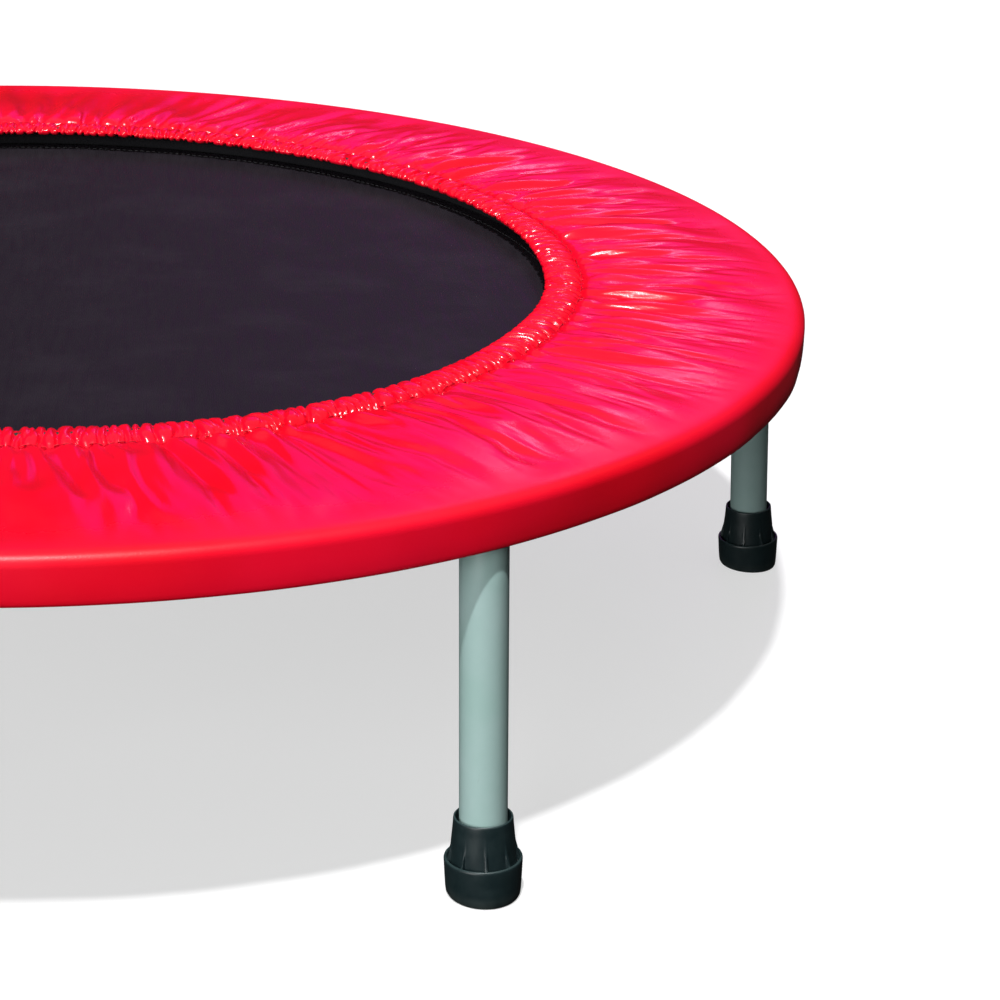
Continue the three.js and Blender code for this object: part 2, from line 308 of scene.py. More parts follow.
class Shader:
    """A material's node tree, with short calls for the nodes used here."""

    def __init__(self, name, colour, roughness, metallic=0.0, specular=0.5):
        self.material = bpy.data.materials.new(name)
        self.material.use_nodes = True
        self.material.diffuse_color = (*colour, 1)
        self.tree = self.material.node_tree
        self.surface = self.tree.nodes["Principled BSDF"]
        self.put(self.surface, {
            "Base Color": (*colour, 1), "Roughness": roughness, "Metallic": metallic,
            "Specular IOR Level": specular,
        })
        self.place = self.node("ShaderNodeTexCoord").outputs["Object"]

    def put(self, node, values):
        """Sets a node's inputs, or links them where the value is another node's output."""
        for key, value in values.items():
            if isinstance(value, bpy.types.NodeSocket):
                self.tree.links.new(value, node.inputs[key])
            else:
                node.inputs[key].default_value = value

    def node(self, kind, values=None, **settings):
        made = self.tree.nodes.new(kind)
        for key, value in settings.items():
            setattr(made, key, value)
        self.put(made, values or {})
        return made

    def noise(self, scale, detail=3.0, roughness=0.5, vector=None):
        values = {"Vector": vector or self.place, "Scale": scale, "Detail": detail, "Roughness": roughness}
        return self.node("ShaderNodeTexNoise", values).outputs["Fac"]

    def cells(self, scale, feature="F1"):
        values = {"Vector": self.place, "Scale": scale}
        return self.node("ShaderNodeTexVoronoi", values, feature=feature).outputs["Distance"]

    def math(self, operation, first, second=0.5, third=0.5):
        values = {0: first, 1: second, 2: third}
        return self.node("ShaderNodeMath", values, operation=operation).outputs[0]

    def vector(self, operation, first, second=(0, 0, 0)):
        """Vector maths; SCALE takes its factor from the node's last input."""
        other = 3 if operation == "SCALE" else 1
        return self.node("ShaderNodeVectorMath", {0: first, other: second}, operation=operation).outputs

    def separate(self, vector):
        return self.node("ShaderNodeSeparateXYZ", {0: vector}).outputs

    def ranged(self, value, low, high, to_low, to_high):
        values = {"Value": value, "From Min": low, "From Max": high, "To Min": to_low, "To Max": to_high}
        return self.node("ShaderNodeMapRange", values).outputs["Result"]

    def mixed(self, factor, first, second):
        values = {0: factor, 6: first, 7: second}
        return self.node("ShaderNodeMix", values, data_type="RGBA").outputs[2]

    def scaled(self, scale):
        values = {"Vector": self.place, "Scale": scale}
        return self.node("ShaderNodeMapping", values).outputs["Vector"]

    def bump(self, height, strength, distance, normal=None):
        values = {"Height": height, "Strength": strength, "Distance": distance}
        if normal is not None:
            values["Normal"] = normal
        return self.node("ShaderNodeBump", values).outputs["Normal"]

    def finish(self, colour=None, roughness=None, normal=None):
        """Links what varies over the surface to the shader."""
        varying = {"Base Color": colour, "Roughness": roughness, "Normal": normal}
        self.put(self.surface, {key: value for key, value in varying.items() if value is not None})
        return self.material


def radial_place(shader, squeeze):
    """The nearest point on a circle, so that a noise there makes streaks that run outwards,
    and the distance from the upright axis."""
    flat = shader.vector("MULTIPLY", shader.place, (1, 1, 0))[0]
    unit = shader.vector("NORMALIZE", flat)[0]
    ring = shader.vector("SCALE", unit, CREASE_R)[0]
    inward = shader.vector("SCALE", shader.place, squeeze)[0]
    reach = shader.vector("LENGTH", flat)["Value"]
    return shader.vector("ADD", ring, inward)[0], reach


def vinyl_material():
    """Soft PVC: a fine leather grain, faint streaks out from the gathers, and a duller rim and skirt."""
    shader = Shader("cover_vinyl", (0.94, 0.002, 0.022), 0.25, specular=0.38)
    patches = shader.noise(9.0)
    rubbed = shader.noise(45.0, 4.0, 0.6)
    tone = shader.ranged(patches, 0.35, 0.65, 0.0, 1.0)
    colour = shader.mixed(tone, (0.90, 0.0015, 0.016, 1), (0.97, 0.003, 0.030, 1))
    grain = shader.cells(1150.0, "SMOOTH_F1")
    fine = shader.noise(2600.0, 2.0)
    place, reach = radial_place(shader, 0.05)
    fade = shader.ranged(reach, 0.37, 0.455, 1.0, 0.0)
    streaks = shader.math("MULTIPLY", shader.noise(150.0, 2.0, 0.5, place), fade)
    duller = shader.ranged(reach, 0.44, 0.48, 0, 0.18)
    roughness = shader.math("ADD", shader.ranged(rubbed, 0.3, 0.7, 0.17, 0.24), duller)
    normal = shader.bump(grain, 0.10, 0.0004)
    normal = shader.bump(fine, 0.04, 0.0002, normal)
    normal = shader.bump(streaks, 0.2, 0.0016, normal)
    return shader.finish(colour, roughness, normal)


def weave_material():
    """Woven polypropylene: flat tapes of two directions, over and under each other."""
    shader = Shader("mat_weave", (0.016, 0.013, 0.018), 0.62, specular=0.1)
    pitch = 1.3 * MM
    cloth = shader.scaled((1 / pitch, 1 / pitch, 0))
    across = [shader.math("FRACT", part) for part in shader.separate(cloth)[:2]]
    crown = []
    for share in across:
        middle = shader.math("SUBTRACT", share, 0.5)
        crown.append(shader.math("MULTIPLY_ADD", shader.math("MULTIPLY", middle, middle), -4.0, 1.0))
    board = shader.node("ShaderNodeTexChecker", {"Vector": cloth, "Scale": 1.0}).outputs["Fac"]
    over = shader.node("ShaderNodeMix", {0: board, 2: crown[0], 3: crown[1]}, data_type="FLOAT").outputs[0]
    height = shader.math("MULTIPLY", over, shader.math("ADD", crown[0], crown[1]))
    tapes = shader.noise(240.0, 2.0, 0.5, shader.scaled((1, 0.12, 1)))
    dust = shader.noise(14.0, 5.0, 0.65)
    tone = shader.math("MULTIPLY_ADD", tapes, 0.6, shader.math("MULTIPLY", board, 0.15))
    colour = shader.mixed(tone, (0.011, 0.009, 0.012, 1), (0.021, 0.017, 0.023, 1))
    colour = shader.mixed(shader.ranged(dust, 0.48, 0.75, 0.0, 0.3), colour, (0.036, 0.031, 0.038, 1))
    roughness = shader.ranged(tapes, 0.3, 0.7, 0.5, 0.68)
    normal = shader.bump(height, 0.15, 0.0003)
    return shader.finish(colour, roughness, normal)


def webbing_material():
    shader = Shader("webbing", (0.018, 0.018, 0.022), 0.8, specular=0.3)
    values = {"Vector": shader.place, "Scale": 190.0, "Distortion": 0.4, "Detail": 1.0}
    ribs = shader.node("ShaderNodeTexWave", values, wave_type="RINGS", rings_direction="Z")
    fluff = shader.noise(900.0)
    colour = shader.mixed(fluff, (0.012, 0.012, 0.015, 1), (0.045, 0.045, 0.052, 1))
    normal = shader.bump(ribs.outputs["Fac"], 0.3, 0.0004)
    normal = shader.bump(fluff, 0.2, 0.0003, normal)
    return shader.finish(colour, shader.ranged(fluff, 0.3, 0.7, 0.7, 0.92), normal)


def coat_material():
    """Grey-green powder coat with a fine orange peel, rubbed a little thin in places."""
    shader = Shader("steel_coat", (0.38, 0.55, 0.52), 0.38)
    peel = shader.noise(750.0, 2.0)
    wide = shader.noise(22.0, 4.0, 0.6)
    scuffs = shader.noise(60.0, 5.0, 0.75, shader.scaled((1, 1, 0.15)))
    tone = shader.ranged(wide, 0.35, 0.65, 0, 1)
    colour = shader.mixed(tone, (0.36, 0.535, 0.50, 1), (0.41, 0.57, 0.55, 1))
    worn = shader.ranged(scuffs, 0.66, 0.72, 0.0, 0.5)
    colour = shader.mixed(worn, colour, (0.27, 0.33, 0.31, 1))
    roughness = shader.ranged(scuffs, 0.35, 0.7, 0.30, 0.52)
    normal = shader.bump(peel, 0.06, 0.0005)
    return shader.finish(colour, roughness, normal)


def shaded(colour, share):
    return (*(share * part for part in colour), 1)


def zinc_material(name="zinc", colour=(0.62, 0.63, 0.66)):
    shader = Shader(name, colour, 0.32, metallic=1.0)
    spangle = shader.cells(260.0)
    stain = shader.noise(90.0, 4.0, 0.6)
    stained = shader.ranged(stain, 0.45, 0.75, 0.0, 0.8)
    tone = shader.mixed(stained, shaded(colour, 1), shaded(colour, 0.72))
    roughness = shader.ranged(spangle, 0.0, 0.8, 0.24, 0.45)
    normal = shader.bump(stain, 0.1, 0.0003)
    return shader.finish(tone, roughness, normal)


def rubber_material():
    """Dark green-black rubber, paler along its edges, partly from wear and partly as a painted highlight where the
    edges catch the light, and dusty near the floor.
    """
    shader = Shader("foot_rubber", (0.008, 0.018, 0.020), 0.42)
    mottle = shader.noise(120.0, 4.0, 0.6)
    grain = shader.noise(1500.0, 2.0)
    height = shader.separate(shader.place)["Z"]
    dusty = shader.math("MULTIPLY", shader.ranged(height, 0.0, 0.008, 0.4, 0.0), mottle)
    colour = shader.mixed(mottle, (0.005, 0.012, 0.014, 1), (0.012, 0.026, 0.028, 1))
    worn_and_highlit_edges = shader.node("ShaderNodeNewGeometry").outputs["Pointiness"]
    uneven = shader.ranged(mottle, 0.3, 0.6, 0.5, 1.0)
    # Painted highlight: the edges of the lip, collar and gussets are painted paler where they catch the light; the
    # rest of this paleness is edge wear.
    worn = shader.math("MULTIPLY", shader.ranged(worn_and_highlit_edges, 0.53, 0.62, 0.0, 0.9), uneven)
    colour = shader.mixed(worn, colour, (0.10, 0.17, 0.17, 1))
    colour = shader.mixed(dusty, colour, (0.10, 0.11, 0.10, 1))
    normal = shader.bump(grain, 0.08, 0.0003)
    return shader.finish(colour, shader.ranged(mottle, 0.3, 0.7, 0.34, 0.5), normal)


def foam_material():
    shader = Shader("foam", (0.012, 0.012, 0.014), 0.95, specular=0.1)
    pores = shader.cells(900.0)
    age = shader.noise(30.0)
    colour = shader.mixed(age, (0.010, 0.010, 0.012, 1), (0.018, 0.018, 0.020, 1))
    normal = shader.bump(pores, 0.5, 0.0006)
    return shader.finish(colour, shader.ranged(pores, 0.0, 0.7, 0.85, 1.0), normal)


def thread_material(name, colour):
    """Twisted sewing thread or braided cord."""
    shader = Shader(name, colour, 0.6, specular=0.35)
    twist = shader.noise(2200.0, 2.0)
    tone = shader.mixed(twist, shaded(colour, 0.5), shaded(colour, 1))
    return shader.finish(tone, shader.ranged(twist, 0.3, 0.7, 0.5, 0.75), shader.bump(twist, 0.3, 0.0003))


MATERIALS = {
    "cover_vinyl": vinyl_material(),
    "mat_weave": weave_material(),
    "webbing": webbing_material(),
    "steel_coat": coat_material(),
    "zinc": zinc_material(),
    "spring_wire": zinc_material("spring_wire", (0.55, 0.56, 0.58)),
    "foot_rubber": rubber_material(),
    "foam": foam_material(),
    "elastic_cord": thread_material("elastic_cord", (0.03, 0.03, 0.033)),
    "red_thread": thread_material("red_thread", (0.80, 0.004, 0.03)),
    "black_thread": thread_material("black_thread", (0.05, 0.05, 0.055)),
}


def dressed(obj, slot, material=None):
    """Gives a piece its material, which its slot names unless another material is given."""
    obj.data.materials.clear()
    obj.data.materials.append(MATERIALS[material or slot])


# ---------- camera, lights, floor

def make_camera():
    """A long lens close in front, turned a little to the right and looking down at about 22 degrees."""
    yaw, pitch, roll = (math.radians(angle) for angle in (9.08, 22.02, 3.18))
    level = Matrix.Rotation(-yaw, 4, "Z") @ Matrix.Rotation(math.pi / 2 - pitch, 4, "X")
    camera = linked_object("camera", bpy.data.cameras.new("camera"))
    camera.data.lens = 83.8
    camera.data.sensor_width = 36
    camera.data.clip_end = 60
    place = Matrix.Translation((0.0740, -1.4435, 0.6390))
    camera.matrix_world = place @ level @ Matrix.Rotation(roll, 4, "Z")
    bpy.context.scene.camera = camera


def add_light(name, kind, source, place=(0, 0, 0), **settings):
    """A light that shines from the direction called source; a sun's place doesn't matter."""
    light = bpy.data.lights.new(name, kind)
    for key, value in settings.items():
        setattr(light, key, value)
    made = linked_object(name, light)
    made.location = place
    made.rotation_euler = Vector(source).to_track_quat("Z", "Y").to_euler()


WORLD_LIGHT = 0.02


def make_lights():
    """A high key from the front and a softer one from the left, a wide soft light from above, and behind
    the object a large rose panel and a small blue one, which give the vinyl its sheen. The world lights
    the object only a little, and the camera sees it white."""
    add_light("key", "SUN", (-0.120, -0.332, 0.936), energy=3.0, angle=math.radians(2.5))
    add_light("fill", "SUN", (-0.60, -0.75, 0.25), energy=2.0, angle=math.radians(40))
    add_light("dome", "SUN", (0, 0, 1), energy=0.5, angle=math.radians(100))
    add_light(
        "rose_panel", "AREA", (0.6, 2.97, 1.75), (0.9, 2.97, 1.95),
        shape="DISK", size=2.0, energy=7, color=(0.8, 0.05, 1.0))
    add_light(
        "sheen", "AREA", (0.65, 2.7, 1.8), (1.05, 2.7, 2.0),
        shape="DISK", size=0.34, energy=1.7, color=(0.5, 0.6, 1.0))
    world = bpy.data.worlds.new("studio")
    world.use_nodes = True
    tree = world.node_tree
    background = tree.nodes["Background"]
    background.inputs["Color"].default_value = (1, 1, 1, 1)
    rays = tree.nodes.new("ShaderNodeLightPath")
    strength = tree.nodes.new("ShaderNodeMath")
    strength.operation = "MULTIPLY_ADD"
    strength.inputs[1].default_value = 1 - WORLD_LIGHT
    strength.inputs[2].default_value = WORLD_LIGHT
    tree.links.new(rays.outputs["Is Camera Ray"], strength.inputs[0])
    tree.links.new(strength.outputs[0], background.inputs["Strength"])
    bpy.context.scene.world = world
    bpy.context.scene.view_settings.view_transform = "Standard"


def make_floor():
    half = 12.0
    corners = [(-half, -half, 0), (half, -half, 0), (half, half, 0), (-half, half, 0)]
    floor = mesh_object("floor", corners, [[0, 1, 2, 3]], smooth=False)
    shader = Shader("floor", (0.45, 0.45, 0.45), 0.9, specular=0.0)
    shader.put(shader.surface, {"Emission Color": (1, 1, 1, 1), "Emission Strength": 0.6})
    floor.data.materials.append(shader.finish())
    floor.visible_diffuse = False
    floor.visible_glossy = False


# ---------- cover

COVER_COLUMNS = 1200
RUFFLE_COLUMNS = 3000
TOP_ROWS = 36
RIM_ROUNDING = 8 * MM
TOP_EDGE_R = COVER_R - RIM_ROUNDING
TOP_WIDTH = TOP_EDGE_R - CREASE_R
CREASE_Z = 218.6 * MM
DEEPEST_FOLD = 4.5 * MM
FADE_START = 0.3
SEAM_SPARE = 0.10
TOP_SPARE = 0.004
DRAWN_IN_FRAME = 12
LAST_FRAME = 20
SOFT_VINYL = {
    "quality": 5, "mass": 0.15, "tension_stiffness": 60, "compression_stiffness": 60,
    "shear_stiffness": 20, "bending_stiffness": 0.5,
}


def fold_field(angle, radius, share, folds):
    """Sum of valleys that start at the crease and run outwards, each with its own lean and length.
    angle is a row, radius and share are columns; share is 0 at the crease and 1 at the rim."""
    field = np.zeros((len(share), len(angle)))
    for fold in folds:
        middle = fold["angle"] + fold["lean"] * share * TOP_WIDTH / radius
        away = wrapped(angle[None, :] - middle)
        width = fold["width"] * (1 + fold["spread"] * share)
        off = away * radius / width
        valley = np.exp(-off * off)
        crown = 0.45 * np.exp(-((np.abs(off) - 2.0) ** 2))
        fade = 1 - smooth_step((share / fold["length"] - FADE_START) / (1 - FADE_START))
        field -= fold["depth"] * fade * (valley - crown)
    return field


def common_lean(angle):
    """The folds all lean towards one side, as they do on a cover that was pulled on from there."""
    return -0.24 * math.sin(angle + math.radians(40))


def scattered_folds(count, jitter, lean_spread, width, spread, length, depth):
    """Folds at nearly even angles, longer on the side towards +Y. Each range is (least, most), and
    widths and depths are in millimetres."""
    folds = []
    for number in range(count):
        angle = (number + random.uniform(-jitter, jitter)) * FULL_TURN / count
        folds.append({
            "angle": angle,
            "lean": common_lean(angle) + random.uniform(-lean_spread, lean_spread),
            "width": random.uniform(*width) * MM,
            "spread": random.uniform(*spread),
            "length": random.uniform(*length) * (1 + 0.4 * max(0, math.sin(angle))),
            "depth": random.uniform(*depth) * MM,
        })
    return folds


def cover_folds():
    """Long folds, shorter ones between them, and the tight pleats at the seam."""
    families = [
        # count, jitter, lean_spread, width, spread, length, depth
        (66, 0.40, 0.07, (3.2, 5.2), (0.3, 1.0), (0.70, 1.05), (1.2, 2.7)),
        (84, 0.45, 0.12, (2.2, 3.6), (0.4, 1.6), (0.35, 0.85), (0.9, 2.1)),
        (190, 0.42, 0.25, (1.4, 2.4), (0.5, 3.0), (0.08, 0.30), (0.5, 1.4)),
    ]
    return [fold for family in families for fold in scattered_folds(*family)]


def top_height(share):
    """The cover's top without its folds: a step up from the crease, then a low crown down to the rim."""
    step = 1 - np.exp(-share * TOP_WIDTH / (6 * MM))
    crown = 1.6 * MM * np.sin(math.pi * np.clip(share, 0, 1) ** 0.8)
    return CREASE_Z + (RIM_TOP - CREASE_Z) * step + crown


def simulated(points, spare):
    """The cover's top as cloth that is drawn in: it was cut with spare width round the ring, its inner
    edge is sewn to a shorter seam, and the cloth behind the seam buckles into folds."""
    rows, columns = points.shape[:2]
    cut = points.copy()
    cut[..., :2] *= 1 + spare[:, None, None]
    radius = np.linalg.norm(points[:, 0, :2], axis=1)
    height = points[..., 2].mean(axis=1)
    width = 1.01 * np.hypot(np.diff(radius), np.diff(height))
    cut_width = np.diff(radius * (1 + spare))
    rise = np.sqrt(np.maximum(width ** 2 - cut_width ** 2, 0))
    cut_height = height[-1] + np.concatenate([np.cumsum(rise[::-1])[::-1], [0]])
    cut[..., 2] += (cut_height - height)[:, None]
    sheet = mesh_object("cloth_work", cut.reshape(-1, 3), grid_faces(rows, columns))
    sheet.shape_key_add(name="Basis")
    drawn_in = sheet.shape_key_add(name="drawn_in")
    drawn_in.data.foreach_set("co", points.astype(np.float32).ravel())
    for value, number in ((0, 1), (1, DRAWN_IN_FRAME)):
        drawn_in.value = value
        drawn_in.keyframe_insert("value", frame=number)
    seams = sheet.vertex_groups.new(name="seams")
    for first, last in ((0, 1), (rows - 2, rows)):
        seams.add(list(range(first * columns, last * columns)), 1.0, "REPLACE")
    cloth = sheet.modifiers.new("Cloth", "CLOTH")
    for key, value in SOFT_VINYL.items():
        setattr(cloth.settings, key, value)
    cloth.settings.vertex_group_mass = "seams"
    cloth.settings.effector_weights.gravity = 0
    cloth.collision_settings.use_collision = False
    cloth.point_cache.frame_start = 1
    cloth.point_cache.frame_end = LAST_FRAME
    scene = bpy.context.scene
    for number in range(1, LAST_FRAME + 1):
        scene.frame_set(number)
    graph = bpy.context.evaluated_depsgraph_get()
    result = np.empty(rows * columns * 3, np.float32)
    sheet.evaluated_get(graph).data.vertices.foreach_get("co", result)
    bpy.data.objects.remove(sheet)
    scene.frame_set(1)
    return result.reshape(rows, columns, 3).astype(float)


def cover_top():
    """Points of the cover's top, from the crease to the rim. The folds are shallow right at the seam and
    gone at the rim. On the side towards +Y they keep more of their starting creases, which are
    straighter, and less of what the simulation makes of them."""
    share = np.linspace(0, 1, TOP_ROWS) ** 0.9
    radius = CREASE_R + share * TOP_WIDTH
    angle = ring_angles(COVER_COLUMNS)
    flat = turned_points(np.stack([radius, top_height(share)], axis=1), COVER_COLUMNS)
    column = share[:, None]
    folds = fold_field(angle, radius[:, None], column, cover_folds())
    folds *= 0.4 + 0.6 * smooth_step(column / 0.03)
    folds *= 1 - smooth_step((column - 0.86) / 0.14)
    creased = flat.copy()
    creased[..., 2] += folds
    spare = SEAM_SPARE * (1 - share) ** 1.5 + TOP_SPARE * (1 - share)
    shift = simulated(creased, spare) - flat
    shift = softened(shift, 2, 1, TOP_ROWS - 1)
    straight = np.maximum(0, np.sin(angle)) ** 2
    shift *= (1 - 0.65 * straight)[None, :, None]
    shift[..., 2] += (0.6 + 0.9 * straight) * folds
    shift[..., 2] -= shift[..., 2].mean(axis=1, keepdims=True)
    return flat + DEEPEST_FOLD * np.tanh(shift / DEEPEST_FOLD)


def ruffle_profile():
    """Section of the gathered casing, from its hidden underside over the roll to the seam. Each control
    point is in millimetres: how far it is from the inner edge, and its height."""
    seam = (CREASE_R - INNER_EDGE_R) / MM
    crease = CREASE_Z / MM
    control = np.array([
        (15.5, 216.4), (9.0, 216.2), (4.0, 216.5), (1.2, 217.2), (0.0, 218.4), (1.0, 219.8),
        (4.5, 221.2), (10.0, 221.9), (16.0, 221.6), (20.5, 220.2), (seam, crease - 0.4),
        (seam + 3.0, crease - 1.6),
    ])
    control[:, 0] += INNER_EDGE_R / MM
    return rounded_line(control * MM, 30)


def rounded_line(control, count):
    """Evenly spaced points on a smooth line through the control points."""
    dense = []
    padded = np.concatenate([[2 * control[0] - control[1]], control, [2 * control[-1] - control[-2]]])
    for i in range(1, len(padded) - 2):
        before, start, end, after = padded[i - 1:i + 3]
        t = np.linspace(0, 1, 20, endpoint=False)[:, None]
        dense.append(0.5 * (
            2 * start + (end - before) * t
            + (2 * before - 5 * start + 4 * end - after) * t ** 2
            + (3 * start - before - 3 * end + after) * t ** 3
        ))
    dense = np.concatenate([*dense, control[-1:]])
    length = np.concatenate([[0], np.cumsum(np.linalg.norm(np.diff(dense, axis=0), axis=1))])
    at = np.linspace(0, length[-1], count)
    return np.stack([np.interp(at, length, dense[:, k]) for k in (0, 1)], axis=1)


def crimps(angle, share):
    """Height of the casing's tight creases: share is 0 at the hidden edge and 1 at the seam. Deep ones
    part it into small puffs, and shallow ones wrinkle the puffs. Widths, depths and leans are in mm."""
    field = np.zeros((len(share), len(angle)))
    half_window = 0.08
    deep = dict(count=350, width=(0.7, 1.0), depth=(1.2, 2.5), lean=6.0, reach=(0.5, 1.4))
    shallow = dict(count=520, width=(0.6, 0.9), depth=(0.4, 1.0), lean=10.0, reach=(0.15, 0.35))
    for family in (deep, shallow):
        count = family["count"]
        for number in range(count):
            start = (number + random.uniform(-0.4, 0.4)) * FULL_TURN / count
            lean = random.normal(0, family["lean"]) * MM / INNER_EDGE_R
            bend = random.normal(0, 2.0) * MM / INNER_EDGE_R
            width = random.uniform(*family["width"]) * MM
            depth = random.uniform(*family["depth"]) * MM
            place = random.uniform(0.35, 0.9)
            along = np.exp(-((share - place) / random.uniform(*family["reach"])) ** 2)
            middle = start + lean * (share - 0.6) + bend * np.sin(math.pi * share * 2)
            near = np.abs(wrapped(angle - start)) < half_window
            off = wrapped(angle[None, near] - middle[:, None]) * INNER_EDGE_R / width
            valley = np.exp(-off * off) + 0.25 * np.exp(-(off / 2.5) ** 2)
            field[:, near] -= depth * along[:, None] * valley
    field -= field.mean()
    return np.clip(field, -2.6 * MM, 1.3 * MM)


def ruffle_points():
    """The casing with its crimps. Its roll sways a little, and lies further out near -57 degrees."""
    profile = ruffle_profile()
    points = turned_points(profile, RUFFLE_COLUMNS)
    normal = side_directions(profile)
    share = np.linspace(0, 1, len(profile))
    angle = ring_angles(RUFFLE_COLUMNS)
    loose = smooth_step(share / 0.15) * smooth_step((1 - share) / 0.08)
    depth = crimps(angle, share) * (0.25 + 0.75 * loose)[:, None]
    sway = 0.5 * MM * np.sin(angle * 7 + 0.6) + 0.4 * MM * np.sin(angle * 13 + 2.0)
    sway -= 4.0 * MM * one_side(angle, -57, 20)
    out = depth * normal[:, :1] - sway * np.sin(math.pi * share)[:, None]
    push_out(points, out, angle)
    points[..., 2] += depth * normal[:, 1:2]
    return points


def one_side(angle, middle, spread):
    """1 at one place on the ring, falling to 0 on both sides; both numbers are in degrees."""
    away = wrapped(angle - math.radians(middle))
    return np.exp(-(away / math.radians(spread)) ** 2)


def rim_profile():
    """Section from the top's edge round the rim, down the skirt and up inside its hem."""
    wide, tall = RIM_ROUNDING, 7 * MM
    reach = COVER_R + 0.9 * MM
    middle = (reach - wide, RIM_TOP - tall)
    arc = [
        (middle[0] + wide * math.sin(turn), middle[1] + tall * math.cos(turn))
        for turn in np.radians(np.linspace(12, 90, 8))
    ]
    wall = [(reach + bulge * MM, HEM_Z + height * MM) for bulge, height in (
        (0.15, 14.5), (0.3, 12), (0.4, 9), (0.4, 6.0), (0.3, 3.5), (0.15, 1.6), (-0.2, 0.5))]
    hem = [(reach + inset * MM, HEM_Z + height * MM) for inset, height in (
        (-0.8, 0.0), (-1.6, 0.0), (-2.4, 0.7), (-2.7, 3.0), (-2.7, 8.0))]
    return np.array(arc + wall + hem)


def rim_points():
    profile = rim_profile()
    points = turned_points(profile, COVER_COLUMNS)
    angle = ring_angles(COVER_COLUMNS)
    low = smooth_step((RIM_TOP - profile[:, 1]) / (RIM_TOP - HEM_Z))[:, None]
    wave = np.zeros_like(angle)
    for count, size in ((9, 0.35), (17, 0.25), (31, 0.2), (57, 0.12)):
        wave += size * MM * np.sin(angle * count + random.uniform(0, FULL_TURN))
    push_out(points, low * wave, angle)
    points[..., 2] += low ** 2 * (0.4 * wave - 1.3 * MM * one_side(angle, -62, 40))
    return points


def seam_allowance(edge):
    """Two rows that turn the top's inner edge down and back under it."""
    rows = []
    for out, drop in ((4.0, 2.6), (0.3, 1.6)):
        row = edge.copy()
        row[..., :2] *= 1 + out * MM / CREASE_R
        row[..., 2] -= drop * MM
        rows.append(row)
    return rows


def make_cover():
    """The cover's top with its skirt, and the gathered casing sewn along its inner edge."""
    top = cover_top()
    points = np.concatenate([*seam_allowance(top[:1]), top, rim_points()])
    rim_start = 2 + TOP_ROWS
    points = softened(points, 2, rim_start - 2, rim_start + 2)
    cover = mesh_object("cover", points.reshape(-1, 3), grid_faces(len(points), COVER_COLUMNS))
    dressed(cover, "cover_vinyl")
    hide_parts("pad_cover")
    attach(cover, "frame")
    ruffle = ruffle_points()
    casing = mesh_object("cover_casing", ruffle.reshape(-1, 3), grid_faces(len(ruffle), RUFFLE_COLUMNS))
    dressed(casing, "cover_vinyl")
    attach(casing, "frame")
    make_crease_stitches(top[0])


def stitch(start, end, up, thickness):
    """One thread stitch: a short tube, bowed up and thinner at its ends."""
    share = np.linspace(0, 1, 5)[:, None]
    path = start + (end - start) * share + up * (np.sin(math.pi * share) * thickness * 0.9)
    radius = thickness * np.array([0.35, 0.9, 1.0, 0.9, 0.35])
    return tube_mesh(path, radius, 6)


def make_crease_stitches(line):
    """A row of stitches in the crease, which hold the ruffle's casing."""
    parts = []
    step = 3
    gap = 0.22
    for column in range(0, COVER_COLUMNS, step):
        start = line[column]
        end = line[(column + step) % COVER_COLUMNS]
        first = start + (end - start) * gap
        parts.append(stitch(first, end, np.array([0, 0, 1.0]), 0.34 * MM))
    stitches = joined("crease_stitches", parts)
    dressed(stitches, "cover_vinyl", "red_thread")
    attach(stitches, "frame")


# ---------- foam and elastic

def foam_piece(name, profile):
    foam = outward(turned(name, profile, 240))
    dressed(foam, "foam")
    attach(foam, "frame")
    return foam


def make_foam():
    """A thick ring that steps over the springs, and a thin strip of it that lies on the hoop."""
    top = RIM_TOP - 5 * MM
    low = MAT_TOP + 0.7 * MM
    over_springs = HOOP_Z + COIL_R + 0.5 * MM
    over_hoop = HOOP_Z + HOOP_TUBE_R + 0.2 * MM
    inner, lip, step, outer = (radius * MM for radius in (338.0, 356.0, 450.0, 476.0))
    edge = 1.2 * MM
    profile = [
        (inner + edge, low), (lip - edge, low), (lip, low + edge), (lip + edge, over_springs),
        (step, over_springs), (step + 0.3 * MM, top - 0.6 * MM),
        (step - edge, top), (CREASE_R + 4 * MM, top), (CREASE_R - 2 * MM, top - 1.5 * MM),
        (inner + edge, top - 2 * MM), (inner, top - 2 * MM - edge), (inner, low + edge),
    ]
    foam = foam_piece("foam_ring", profile)
    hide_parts("pad_foam")
    strip = [
        (step + 1.5 * MM, over_hoop), (outer, over_hoop),
        (outer, over_hoop + 0.9 * MM), (step + 1.5 * MM, over_hoop + 0.9 * MM),
    ]
    foam_piece("foam_edge", strip)


def make_elastic():
    path = turned_points([(ELASTIC_R, ELASTIC_Z)], 480)[0]
    points, faces = tube_mesh(path, 1.7 * MM, 10, closed=True)
    elastic = outward(mesh_object("elastic_cord", points, faces))
    dressed(elastic, "elastic_cord")
    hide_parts("inner_elastic")
    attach(elastic, "frame")


# ---------- hoop

